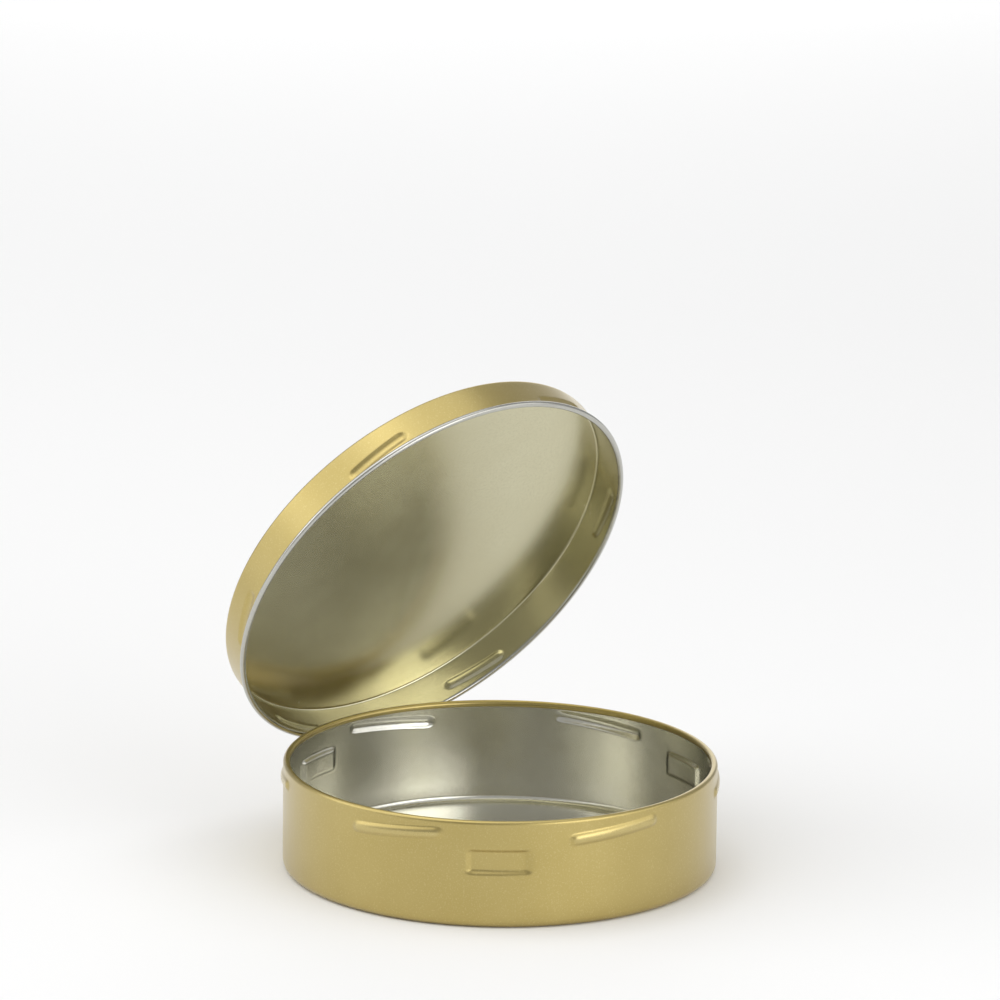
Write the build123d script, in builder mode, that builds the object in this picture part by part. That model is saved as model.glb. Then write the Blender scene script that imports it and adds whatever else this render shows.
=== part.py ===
"""Round twist-lid tin: a drawn base with raised threads and a drawn lid with pressed beads.

Frame: the origin is the centre of the base's underside, +Z is up and +Y points at the side of the
base where the lid leans. The lid is built level, about its own centre, and is then tipped open
about a line parallel to X, the line that it also closes about.
"""
import os
from math import cos, degrees, radians, sin

from build123d import *

# Sheet
SHEET = 0.25

# Base
BASE_RADIUS = 50.0
BASE_HEIGHT = 25.1
BASE_CORNER = 1.8
RIM_CURL_RADIUS = 0.8

# Slanted threads, pressed outwards round the base
THREAD_COUNT = 6
THREAD_AZIMUTH = 23.0
THREAD_SPAN = 23.0
THREAD_MIDDLE_Z = 21.0
THREAD_CLIMB = 1.5
THREAD_WIDTH = 2.8
THREAD_RISE = 0.55

# Rectangular pads, pressed inwards round the base below the threads
PAD_COUNT = 3
PAD_AZIMUTH = -9.0
PAD_MIDDLE_Z = 15.6
PAD_WIDTH = 15.0
PAD_TALL = 6.3
PAD_SLOPE = 1.2
PAD_DEPTH = 0.7

# Lid: its own zero height is the plane of its open edge
LID_INNER_RADIUS = 50.8
LID_HEIGHT = 9.6
LID_CORNER = 0.8
LID_CURL_RADIUS = 0.69

# Slanted beads, pressed inwards round the lid
BEAD_COUNT = 6
BEAD_AZIMUTH = -7.0
BEAD_SPAN = 15.0
BEAD_MIDDLE_Z = 3.2
BEAD_CLIMB = 1.1
BEAD_WIDTH = 2.6
BEAD_RISE = 0.45

# Seat and tip: the panel comes down on the rim, and the lid tips about the pivot line
SEAT_GAP = 0.2
PIVOT_Y = 53.8
PIVOT_Z = 18.25
OPEN_ANGLE = 60.0

# Derived sizes
BASE_MIDDLE_RADIUS = BASE_RADIUS - SHEET / 2
LID_MIDDLE_RADIUS = LID_INNER_RADIUS + SHEET / 2
SEAT_Z = BASE_HEIGHT + SEAT_GAP - (LID_HEIGHT - SHEET)


def cap_radius(width, rise):
    """Radius of the circle whose cap has this width and this rise."""
    return (width**2 / 4 + rise**2) / (2 * rise)


def azimuths(first, count):
    """Azimuths in degrees of features that are spaced evenly round the Z axis."""
    return [first + index * 360 / count for index in range(count)]


def on_cylinder(radius, azimuth, height=0):
    """Point at a radius, an azimuth in degrees and a height."""
    return (radius * cos(radians(azimuth)), radius * sin(radians(azimuth)), height)


def ring(inner_radius, outer_radius, height):
    """Plain ring about the Z axis that stands on the XY plane."""
    with BuildPart() as band:
        with BuildSketch():
            Circle(outer_radius)
            Circle(inner_radius, mode=Mode.SUBTRACT)
        extrude(amount=height)
    return band.part


def climbing_bar(path_radius, bar_radius, span, middle_z, climb, band):
    """Round bar with ball ends that climbs round the Z axis, cut to what lies inside a ring."""
    start = on_cylinder(path_radius, -span / 2, middle_z - climb / 2)
    middle = on_cylinder(path_radius, 0, middle_z)
    finish = on_cylinder(path_radius, span / 2, middle_z + climb / 2)
    with BuildPart() as bar:
        with BuildLine() as path:
            ThreePointArc(start, middle, finish)
        with BuildSketch(Plane(origin=path.line @ 0, z_dir=path.line % 0)):
            Circle(bar_radius)
        sweep(path=path.line)
        with Locations(start, finish):
            Sphere(bar_radius)
        add(band, mode=Mode.INTERSECT)
    return bar.part


def pad(limit_radius, foot_radius):
    """Pad at azimuth 0, from its sloping sides and its crown out to a limit radius."""
    crown_radius = foot_radius - PAD_DEPTH
    foot = degrees(PAD_WIDTH / 2 / BASE_RADIUS)
    crown = degrees((PAD_WIDTH / 2 - PAD_SLOPE) / BASE_RADIUS)
    foot_z = PAD_TALL / 2
    crown_z = PAD_TALL / 2 - PAD_SLOPE
    with BuildPart() as block:
        with BuildSketch():
            with BuildLine():
                right = Polyline(
                    on_cylinder(limit_radius, -foot),
                    on_cylinder(foot_radius, -foot),
                    on_cylinder(crown_radius, -crown),
                )
                ThreePointArc(right @ 1, (crown_radius, 0), on_cylinder(crown_radius, crown))
                left = Polyline(
                    on_cylinder(crown_radius, crown),
                    on_cylinder(foot_radius, foot),
                    on_cylinder(limit_radius, foot),
                )
                ThreePointArc(left @ 1, (limit_radius, 0), right @ 0)
            make_face()
        extrude(amount=BASE_HEIGHT)
        with BuildSketch(Plane.XZ):
            with Locations((0, PAD_MIDDLE_Z)):
                Polygon(
                    (crown_radius, -crown_z), (foot_radius, -foot_z), (limit_radius + SHEET, -foot_z),
                    (limit_radius + SHEET, foot_z), (foot_radius, foot_z), (crown_radius, crown_z),
                    align=None,
                )
        revolve(axis=Axis.Z, mode=Mode.INTERSECT)
    return block.part


# Threads: the same bar, one sheet thinner, hollows the inside of each one
thread_bar = cap_radius(THREAD_WIDTH, THREAD_RISE)
thread_path = BASE_RADIUS + THREAD_RISE - thread_bar
thread = climbing_bar(
    thread_path, thread_bar, THREAD_SPAN, THREAD_MIDDLE_Z, THREAD_CLIMB,
    ring(BASE_MIDDLE_RADIUS, BASE_RADIUS + THREAD_RISE + SHEET, BASE_HEIGHT),
)
thread_hollow = climbing_bar(
    thread_path, thread_bar - SHEET, THREAD_SPAN, THREAD_MIDDLE_Z, THREAD_CLIMB,
    ring(BASE_RADIUS - 1.5 * SHEET, BASE_RADIUS + THREAD_RISE, BASE_HEIGHT),
)

# Pads: a ridge inside the wall and a recess of the same shape outside it
pad_ridge = pad(BASE_MIDDLE_RADIUS, BASE_RADIUS - SHEET)
pad_recess = pad(BASE_RADIUS + SHEET, BASE_RADIUS)

# Base: floor, corner, wall and the curl that is rolled inwards at the rim
with BuildPart() as tin_base:
    with BuildSketch(Plane.XZ):
        with BuildLine():
            floor = Line((0, SHEET / 2), (BASE_RADIUS - BASE_CORNER, SHEET / 2))
            heel = JernArc(floor @ 1, (1, 0), BASE_CORNER - SHEET / 2, 90)
            wall = Line(heel @ 1, (BASE_MIDDLE_RADIUS, BASE_HEIGHT - RIM_CURL_RADIUS))
            JernArc(wall @ 1, (0, 1), RIM_CURL_RADIUS - SHEET / 2, 270)
        trace(line_width=SHEET)
    revolve(axis=Axis.Z)
    for azimuth in azimuths(THREAD_AZIMUTH, THREAD_COUNT):
        with Locations(Rot(0, 0, azimuth)):
            add(thread)
    for azimuth in azimuths(THREAD_AZIMUTH, THREAD_COUNT):
        with Locations(Rot(0, 0, azimuth)):
            add(thread_hollow, mode=Mode.SUBTRACT)
    for azimuth in azimuths(PAD_AZIMUTH, PAD_COUNT):
        with Locations(Rot(0, 0, azimuth)):
            add(pad_ridge)
    for azimuth in azimuths(PAD_AZIMUTH, PAD_COUNT):
        with Locations(Rot(0, 0, azimuth)):
            add(pad_recess, mode=Mode.SUBTRACT)

# Beads: the thinner bar hollows the outside of the lid
bead_bar = cap_radius(BEAD_WIDTH, BEAD_RISE)
bead_path = LID_INNER_RADIUS - BEAD_RISE + bead_bar
bead = climbing_bar(
    bead_path, bead_bar, BEAD_SPAN, BEAD_MIDDLE_Z, BEAD_CLIMB,
    ring(LID_INNER_RADIUS - BEAD_RISE - SHEET, LID_MIDDLE_RADIUS, LID_HEIGHT),
)
bead_hollow = climbing_bar(
    bead_path, bead_bar - SHEET, BEAD_SPAN, BEAD_MIDDLE_Z, BEAD_CLIMB,
    ring(LID_INNER_RADIUS - BEAD_RISE, LID_INNER_RADIUS + 1.5 * SHEET, LID_HEIGHT),
)

# Level lid: panel, corner, skirt and the curl that is rolled outwards at the open edge
with BuildPart() as level_lid:
    with BuildSketch(Plane.XZ):
        with BuildLine():
            panel_z = LID_HEIGHT - SHEET / 2
            corner_start = LID_INNER_RADIUS + SHEET - LID_CORNER
            panel = Line((0, panel_z), (corner_start, panel_z))
            corner = JernArc(panel @ 1, (1, 0), LID_CORNER - SHEET / 2, -90)
            skirt = Line(corner @ 1, (LID_MIDDLE_RADIUS, LID_CURL_RADIUS))
            JernArc(skirt @ 1, (0, -1), LID_CURL_RADIUS - SHEET / 2, 270)
        trace(line_width=SHEET)
    revolve(axis=Axis.Z)
    for azimuth in azimuths(BEAD_AZIMUTH, BEAD_COUNT):
        with Locations(Rot(0, 0, azimuth)):
            add(bead)
            add(bead_hollow, mode=Mode.SUBTRACT)

# Lid, tipped open about the pivot line
tip = Pos(0, PIVOT_Y, PIVOT_Z) * Rot(-OPEN_ANGLE, 0, 0) * Pos(0, -PIVOT_Y, SEAT_Z - PIVOT_Z)
with BuildPart() as lid:
    with Locations(tip):
        add(level_lid.part)

tin_base.part.label = "tin_base"
lid.part.label = "lid"

os.makedirs("parts", exist_ok=True)
export_step(tin_base.part, "parts/tin_base.step")
export_step(lid.part, "parts/lid.step")
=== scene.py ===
"""Round twist-lid tin on a pale floor: the looks of the two drawn sheet pieces, in metres."""
import math

import bpy
import numpy as np
from mathutils import Matrix, Vector


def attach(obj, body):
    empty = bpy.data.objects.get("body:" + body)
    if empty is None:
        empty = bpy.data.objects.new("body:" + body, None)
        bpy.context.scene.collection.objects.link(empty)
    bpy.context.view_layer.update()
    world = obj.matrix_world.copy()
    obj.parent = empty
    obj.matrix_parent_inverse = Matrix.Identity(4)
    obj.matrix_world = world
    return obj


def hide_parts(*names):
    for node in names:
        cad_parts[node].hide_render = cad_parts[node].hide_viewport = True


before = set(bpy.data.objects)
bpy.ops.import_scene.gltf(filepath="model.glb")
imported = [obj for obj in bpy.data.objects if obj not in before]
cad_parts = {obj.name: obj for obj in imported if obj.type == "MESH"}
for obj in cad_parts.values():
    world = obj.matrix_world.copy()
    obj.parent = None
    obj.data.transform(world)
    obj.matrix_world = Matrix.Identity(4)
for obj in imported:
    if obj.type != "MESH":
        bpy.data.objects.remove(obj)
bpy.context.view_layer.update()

MM = 0.001

# Sheet of both pieces, in millimetres
SHEET = 0.25

# Base, in millimetres
BASE_RADIUS = 50.0
BASE_HEIGHT = 25.1
BASE_CORNER = 1.8
RIM_CURL = 0.8
THREAD = dict(count=6, azimuth=23.0, span=23.0, middle=21.0, climb=1.5, width=2.8, rise=0.55)
PAD = dict(count=3, azimuth=-9.0, middle=15.6, width=15.0, tall=6.3, slope=1.2, depth=0.7)

# Lid, in millimetres above the plane of its open edge
LID_RADIUS = 51.05
LID_HEIGHT = 9.6
LID_CORNER = 0.8
LID_CURL = 0.69
BEAD = dict(count=6, azimuth=-7.0, span=15.0, middle=3.2, climb=1.1, width=2.6, rise=0.45)

# How the lid leans: tipped about a line parallel to X, from its level seat on the base
PIVOT = Vector((0, 53.8, 18.25))
SEAT_Z = 15.95
OPEN_ANGLE = 60.0

# Meshes: columns round the Z axis, steps round a curl and the radius of the middle of each disc
BASE_COLUMNS = 480
LID_COLUMNS = 600
CURL_STEPS = 20
HUB_RADIUS = 4.0

# Height from which the base's wall is finely divided, and up to which the lid's skirt is
BASE_FINE_Z = 12.0
LID_FINE_Z = 5.4

# Fillet at the feet of a bar: how much it softens the bar, and what is taken off everywhere
FOOT_SOFTNESS = 0.004
FOOT_CUT = 0.001

# Material slots of a sheet
OUTSIDE, INSIDE, CURL = 0, 1, 2


# ---------------------------------------------------------------- sheet shapes

def arc(centre, radius, start, turn, steps):
    """Points and outward normals of an arc in the radius-height plane, without its first point."""
    angles = np.radians(start + turn * np.arange(1, steps + 1) / steps)
    way = np.stack([np.cos(angles), np.sin(angles)], axis=1)
    return np.array(centre) + radius * way, way


def straight(start, finish, normal, steps):
    """Points of a straight run, without its first point, and the run's one normal repeated."""
    part = (np.arange(1, steps + 1) / steps)[:, None]
    points = np.array(start) + part * (np.array(finish) - np.array(start))
    return points, np.tile(np.array(normal, float), (steps, 1))


def joined(runs):
    """Points and normals of several runs, one after the other."""
    return np.concatenate([run[0] for run in runs]), np.concatenate([run[1] for run in runs])


def base_spine():
    """Middle line of the base's sheet, from the centre of the floor to the end of the curl."""
    low = SHEET / 2
    wall = BASE_RADIUS - SHEET / 2
    bend = BASE_CORNER - SHEET / 2
    curl = RIM_CURL - SHEET / 2
    curl_z = BASE_HEIGHT - RIM_CURL
    foot = wall - bend
    runs = [
        straight((0, low), (HUB_RADIUS, low), (0, -1), 1),
        straight((HUB_RADIUS, low), (foot, low), (0, -1), 7),
        arc((foot, low + bend), bend, -90, 90, 9),
        straight((wall, low + bend), (wall, BASE_FINE_Z), (1, 0), 4),
        straight((wall, BASE_FINE_Z), (wall, curl_z), (1, 0), 52),
        arc((wall - curl, curl_z), curl, 0, 270, CURL_STEPS),
    ]
    return joined(runs)


def lid_spine():
    """Middle line of the lid's sheet, from the centre of the panel to the end of the curl."""
    top = LID_HEIGHT - SHEET / 2
    wall = LID_RADIUS - SHEET / 2
    bend = LID_CORNER - SHEET / 2
    curl = LID_CURL - SHEET / 2
    shoulder = wall - bend
    hook, way = arc((wall + curl, LID_CURL), curl, 180, 270, CURL_STEPS)
    runs = [
        straight((0, top), (HUB_RADIUS, top), (0, 1), 1),
        straight((HUB_RADIUS, top), (shoulder, top), (0, 1), 7),
        arc((shoulder, top - bend), bend, 90, -90, 8),
        straight((wall, top - bend), (wall, LID_FINE_Z), (1, 0), 4),
        straight((wall, LID_FINE_Z), (wall, LID_CURL), (1, 0), 24),
        (hook, -way),
    ]
    return joined(runs)


def along(azimuth, feature, index, radius):
    """Distance round the cylinder from the middle of one repeat of a feature."""
    middle = feature["azimuth"] + index * 360 / feature["count"]
    return np.radians((azimuth - middle + 180) % 360 - 180) * radius


def bar_height(azimuth, height, feature, radius):
    """Rise of slanted round-ended bars over a cylinder, with a small fillet at their feet."""
    half = math.radians(feature["span"]) * radius / 2
    slope = feature["climb"] / 2 / half
    width, rise = feature["width"], feature["rise"]
    cap = (width**2 / 4 + rise**2) / (2 * rise)
    total = np.zeros(np.broadcast(azimuth, height).shape)
    for index in range(feature["count"]):
        s = along(azimuth, feature, index, radius)
        z = height - feature["middle"]
        t = np.clip((s + slope * z) / (1 + slope**2), -half, half)
        distance = np.hypot(s - t, z - slope * t)
        bow = np.sqrt(np.clip(cap**2 - distance**2, 0, None)) - (cap - rise)
        bow = np.where(distance < cap, bow, rise - cap)
        total += (bow + np.sqrt(bow**2 + FOOT_SOFTNESS)) / 2
    return np.clip(total - FOOT_CUT, 0, rise)


def pad_depth(azimuth, height, feature, radius):
    """Depth of rectangular pads with softly sloping sides over a cylinder."""
    total = np.zeros(np.broadcast(azimuth, height).shape)
    half_width = feature["width"] / 2 - feature["slope"]
    half_tall = feature["tall"] / 2 - feature["slope"]
    for index in range(feature["count"]):
        s = along(azimuth, feature, index, radius)
        over = np.hypot(
            np.clip(np.abs(s) - half_width, 0, None),
            np.clip(np.abs(height - feature["middle"]) - half_tall, 0, None),
        )
        part = np.clip(1 - over / feature["slope"], 0, 1)
        total += feature["depth"] * part * part * (3 - 2 * part)
    return total


def base_press(azimuth, height):
    """How far the base's wall is pressed outwards; the pads go inwards."""
    threads = bar_height(azimuth, height, THREAD, BASE_RADIUS)
    return threads - pad_depth(azimuth, height, PAD, BASE_RADIUS)


def lid_press(azimuth, height):
    """How far the lid's skirt is pressed outwards; the beads go inwards."""
    return -bar_height(azimuth, height, BEAD, LID_RADIUS)


def revolve_sheet(name, spine, press, columns):
    """Closed mesh of a sheet that is revolved about Z and pressed in or out where its wall is.

    The point attribute "press" holds how far each point stands proud of its own side of the sheet.
    """
    points, normals = spine
    azimuth = np.arange(columns) * 360 / columns
    angle = np.radians(azimuth)[None]
    on_wall = (np.abs(normals[:, 0]) > 0.999).astype(float)
    pressed = on_wall[:, None] * press(azimuth[None], points[:, 1][:, None])
    rings = []
    crests = []
    for side in (1, -1):
        skin = points + side * SHEET / 2 * normals
        radius = skin[:, 0][:, None] + pressed
        height = np.broadcast_to(skin[:, 1][:, None], radius.shape)
        ring = np.stack([radius * np.cos(angle), radius * np.sin(angle), height], axis=-1)
        crest = np.clip(side * pressed, 0, None)
        rings.append(ring[::side])
        crests.append(crest[::side])
    ring = np.concatenate(rings)
    rows = len(ring)
    outer_middle = points[0, 1] + SHEET / 2 * normals[0, 1]
    inner_middle = points[0, 1] - SHEET / 2 * normals[0, 1]
    middles = [[0, 0, outer_middle], [0, 0, inner_middle]]
    vertices = np.concatenate([ring.reshape(-1, 3), middles]) * MM
    column = np.arange(columns)
    after = (column + 1) % columns
    faces = []
    for row in range(rows - 1):
        a, b = row * columns, (row + 1) * columns
        faces.append(np.stack([a + column, a + after, b + after, b + column], axis=1))
    quads = np.concatenate(faces)
    first, last = rows * columns, rows * columns + 1
    end = (rows - 1) * columns
    fans = [(first, int(i + 1) % columns, int(i)) for i in column]
    fans += [(last, end + int(i), end + int(i + 1) % columns) for i in column]
    mesh = bpy.data.meshes.new(name)
    mesh.from_pydata(vertices.tolist(), [], quads.tolist() + fans)
    crest = np.concatenate([np.concatenate(crests).ravel(), [0, 0]]).astype(np.float32)
    mesh.attributes.new("press", "FLOAT", "POINT").data.foreach_set("value", crest)
    half = rows // 2
    slots = np.full(len(mesh.polygons), OUTSIDE, np.int32)
    slots[(half - 1) * columns : len(quads)] = INSIDE
    slots[len(quads) + columns :] = INSIDE
    slots[half * columns : (half + CURL_STEPS) * columns] = CURL
    mesh.polygons.foreach_set("material_index", slots)
    mesh.polygons.foreach_set("use_smooth", np.ones(len(mesh.polygons), bool))
    mesh.update()
    piece = bpy.data.objects.new(name, mesh)
    bpy.context.scene.collection.objects.link(piece)
    return piece


# ---------------------------------------------------------------- materials

class Nodes:
    """Short hand for building one material's node tree."""

    def __init__(self, name):
        self.material = bpy.data.materials.new(name)
        self.material.use_nodes = True
        self.tree = self.material.node_tree
        self.shader = self.tree.nodes["Principled BSDF"]
        self.place = self.tree.nodes.new("ShaderNodeTexCoord").outputs["Object"]

    def link(self, source, target):
        """Link from one socket to another."""
        self.tree.links.new(source, target)

    def noise(self, scale, detail, roughness=0.5, stretch=None):
        """Noise in object space. Scale is in repeats per metre; stretch is a scale per axis."""
        node = self.tree.nodes.new("ShaderNodeTexNoise")
        node.inputs["Scale"].default_value = scale
        node.inputs["Detail"].default_value = detail
        node.inputs["Roughness"].default_value = roughness
        place = self.place
        if stretch:
            mapping = self.tree.nodes.new("ShaderNodeMapping")
            mapping.inputs["Scale"].default_value = stretch
            self.link(self.place, mapping.inputs["Vector"])
            place = mapping.outputs["Vector"]
        self.link(place, node.inputs["Vector"])
        return node.outputs["Fac"]

    def between(self, value, low, high, from_low=0.3, from_high=0.7):
        """Maps a value from one range to another, clamped."""
        node = self.tree.nodes.new("ShaderNodeMapRange")
        node.inputs["From Min"].default_value = from_low
        node.inputs["From Max"].default_value = from_high
        node.inputs["To Min"].default_value = low
        node.inputs["To Max"].default_value = high
        self.link(value, node.inputs["Value"])
        return node.outputs["Result"]

    def math(self, operation, a, b):
        """Two values, or a value and a number, through one operation."""
        node = self.tree.nodes.new("ShaderNodeMath")
        node.operation = operation
        for socket, value in zip(node.inputs, (a, b)):
            if isinstance(value, (int, float)):
                socket.default_value = value
            else:
                self.link(value, socket)
        return node.outputs["Value"]

    def blend(self, factor, a, b):
        """Colour a where the factor is 0 and b where it is 1."""
        node = self.tree.nodes.new("ShaderNodeMix")
        node.data_type = "RGBA"
        self.link(factor, node.inputs["Factor"])
        for socket, colour in zip((node.inputs[6], node.inputs[7]), (a, b)):
            if isinstance(colour, tuple):
                socket.default_value = (*colour, 1)
            else:
                self.link(colour, socket)
        return node.outputs[2]

    def bump(self, height, strength, distance, below=None):
        """Bump of a height, over another bump if there is one."""
        node = self.tree.nodes.new("ShaderNodeBump")
        node.inputs["Strength"].default_value = strength
        node.inputs["Distance"].default_value = distance
        self.link(height, node.inputs["Height"])
        if below:
            self.link(below, node.inputs["Normal"])
        return node.outputs["Normal"]

    def attribute(self, name):
        """Value of a point attribute of the mesh."""
        node = self.tree.nodes.new("ShaderNodeAttribute")
        node.attribute_name = name
        return node.outputs["Fac"]


def gold_lacquer():
    """Satin gold lacquer over tinplate: fine orange peel, faint clouding, smoother crests with a
    painted highlight of lighter gold.
    """
    n = Nodes("gold_lacquer")
    cloud = n.noise(90, 3)
    grain = n.noise(3000, 2)
    peel = n.noise(900, 3)
    crest = n.between(n.attribute("press"), 0, 1, 0.3, 0.5)
    tint = n.blend(n.between(cloud, 0, 1), (0.465, 0.360, 0.112), (0.495, 0.388, 0.130))
    tint = n.blend(n.between(grain, 0, 0.6, 0.55, 0.75), tint, (0.62, 0.53, 0.24))
    # Painted highlight: the raised crests of the threads are painted a lighter gold.
    tint = n.blend(n.math("MULTIPLY", crest, 0.25), tint, (0.66, 0.56, 0.27))
    n.link(tint, n.shader.inputs["Base Color"])
    rough = n.math("ADD", n.between(cloud, 0.33, 0.38), n.math("MULTIPLY", crest, -0.06))
    rough = n.math("ADD", rough, n.between(grain, -0.03, 0.03))
    n.link(rough, n.shader.inputs["Roughness"])
    n.shader.inputs["Metallic"].default_value = 1
    n.shader.inputs["Coat Weight"].default_value = 0.8
    n.shader.inputs["Coat Roughness"].default_value = 0.3
    under = n.bump(peel, 0.12, 0.00004)
    n.link(n.bump(grain, 0.10, 0.00001, under), n.shader.inputs["Normal"])
    return n.material


def bare_tinplate(name, plain, bright, grain):
    """Bright tinplate: a faint mottle of tin crystals, rolling lines one way, faint stains.

    The colour runs from plain to bright with the stains, and part of the way to grain with the
    crystals.
    """
    n = Nodes(name)
    lines = n.noise(2600, 3, 0.6, (1, 0.04, 1))
    crystal = n.noise(1700, 2)
    stain = n.noise(60, 3)
    tint = n.blend(n.between(stain, 0, 1), plain, bright)
    tint = n.blend(n.between(crystal, 0, 0.45, 0.45, 0.7), tint, grain)
    n.link(tint, n.shader.inputs["Base Color"])
    rough = n.math("ADD", n.between(stain, 0.21, 0.26), n.between(lines, -0.01, 0.01))
    rough = n.math("ADD", rough, n.between(crystal, -0.01, 0.01))
    n.link(rough, n.shader.inputs["Roughness"])
    n.shader.inputs["Metallic"].default_value = 1
    under = n.bump(lines, 0.02, 0.000005)
    n.link(n.bump(crystal, 0.02, 0.000005, under), n.shader.inputs["Normal"])
    return n.material


# ---------------------------------------------------------------- pieces

gold = gold_lacquer()
base_tin = bare_tinplate(
    "base_tinplate", (0.69, 0.68, 0.59), (0.75, 0.74, 0.67), (0.62, 0.61, 0.52)
)
lid_tin = bare_tinplate(
    "lid_tinplate", (0.60, 0.565, 0.385), (0.655, 0.625, 0.44), (0.53, 0.50, 0.34)
)
# Lid's curl: bare grey tinplate like the base's, made darker as painted shade on the small curl.
shaded_curl_tin = bare_tinplate(
    "curl_tinplate_painted_shade", (0.50, 0.495, 0.455), (0.55, 0.545, 0.505), (0.46, 0.455, 0.415)
)

base = revolve_sheet("tin_base_sheet", base_spine(), base_press, BASE_COLUMNS)
lid = revolve_sheet("lid_sheet", lid_spine(), lid_press, LID_COLUMNS)
for piece, inside, curl in ((base, base_tin, base_tin), (lid, lid_tin, shaded_curl_tin)):
    for material in (gold, inside, curl):
        piece.data.materials.append(material)

tip = Matrix.Rotation(math.radians(-OPEN_ANGLE), 4, "X")
lid_place = Matrix.Translation(PIVOT) @ tip @ Matrix.Translation(Vector((0, 0, SEAT_Z)) - PIVOT)
lid_place.translation = lid_place.translation * MM
lid.matrix_world = lid_place

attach(base, "base")
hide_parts("tin_base")
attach(lid, "lid")
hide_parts("lid")


# ---------------------------------------------------------------- studio

def floor():
    """Large pale floor, not part of the object."""
    mesh = bpy.data.meshes.new("floor")
    half = 12.0
    corners = [(-half, -half, 0), (half, -half, 0), (half, half, 0), (-half, half, 0)]
    mesh.from_pydata(corners, [], [(0, 1, 2, 3)])
    piece = bpy.data.objects.new("floor", mesh)
    bpy.context.scene.collection.objects.link(piece)
    n = Nodes("floor_paper")
    tint = n.blend(n.noise(3, 2), (0.94, 0.94, 0.94), (0.96, 0.96, 0.96))
    n.link(tint, n.shader.inputs["Base Color"])
    n.shader.inputs["Roughness"].default_value = 0.8
    mesh.materials.append(n.material)


def softbox(name, azimuth, elevation, distance, size, radiance):
    """Square soft light that faces the origin from an azimuth and an elevation in degrees."""
    light = bpy.data.lights.new(name, "AREA")
    light.size = size
    light.energy = radiance * math.pi * size**2
    lamp = bpy.data.objects.new(name, light)
    bpy.context.scene.collection.objects.link(lamp)
    side = distance * math.cos(math.radians(elevation))
    lamp.location = (
        side * math.cos(math.radians(azimuth)),
        side * math.sin(math.radians(azimuth)),
        distance * math.sin(math.radians(elevation)),
    )
    lamp.rotation_euler = (-lamp.location).to_track_quat("-Z", "Y").to_euler()


def surroundings(strength):
    """Even white surroundings."""
    world = bpy.data.worlds.new("studio")
    bpy.context.scene.world = world
    world.use_nodes = True
    background = world.node_tree.nodes["Background"]
    background.inputs["Color"].default_value = (1, 1, 1, 1)
    background.inputs["Strength"].default_value = strength


def camera():
    """Camera at the viewing angle: a long lens, a little above the tin."""
    data = bpy.data.cameras.new("camera")
    data.lens = 286.5
    data.sensor_width = 36
    data.clip_start = 0.05
    data.clip_end = 60
    view = bpy.data.objects.new("camera", data)
    bpy.context.scene.collection.objects.link(view)
    distance = 1.8395
    azimuth, elevation, roll = math.radians(-128.85), math.radians(17.194), math.radians(0.648)
    side = distance * math.cos(elevation)
    place = Vector(
        (side * math.cos(azimuth), side * math.sin(azimuth), distance * math.sin(elevation))
    )
    aim = Vector((0.0138, 0.0184, 0.0807))
    look = (aim - place).to_track_quat("-Z", "Y").to_matrix().to_4x4()
    view.matrix_world = Matrix.Translation(place) @ look @ Matrix.Rotation(roll, 4, "Z")
    bpy.context.scene.camera = view


floor()
surroundings(0.43)
softbox("key", -79, 30, 1.2, 0.8, 0.8)
softbox("low_key", -90, 12, 1.2, 0.8, 1.8)
softbox("right", -45, 25, 1.2, 0.8, 0.8)
softbox("left", 141, 15, 1.2, 0.8, 0.8)
softbox("high_left", 150, 50, 1.3, 1.5, 1.0)
softbox("overhead", 0, 89, 1.3, 1.2, 0.9)
softbox("back", 51, 18, 1.2, 0.8, 0.9)
camera()

bpy.context.scene.view_settings.view_transform = "Standard"
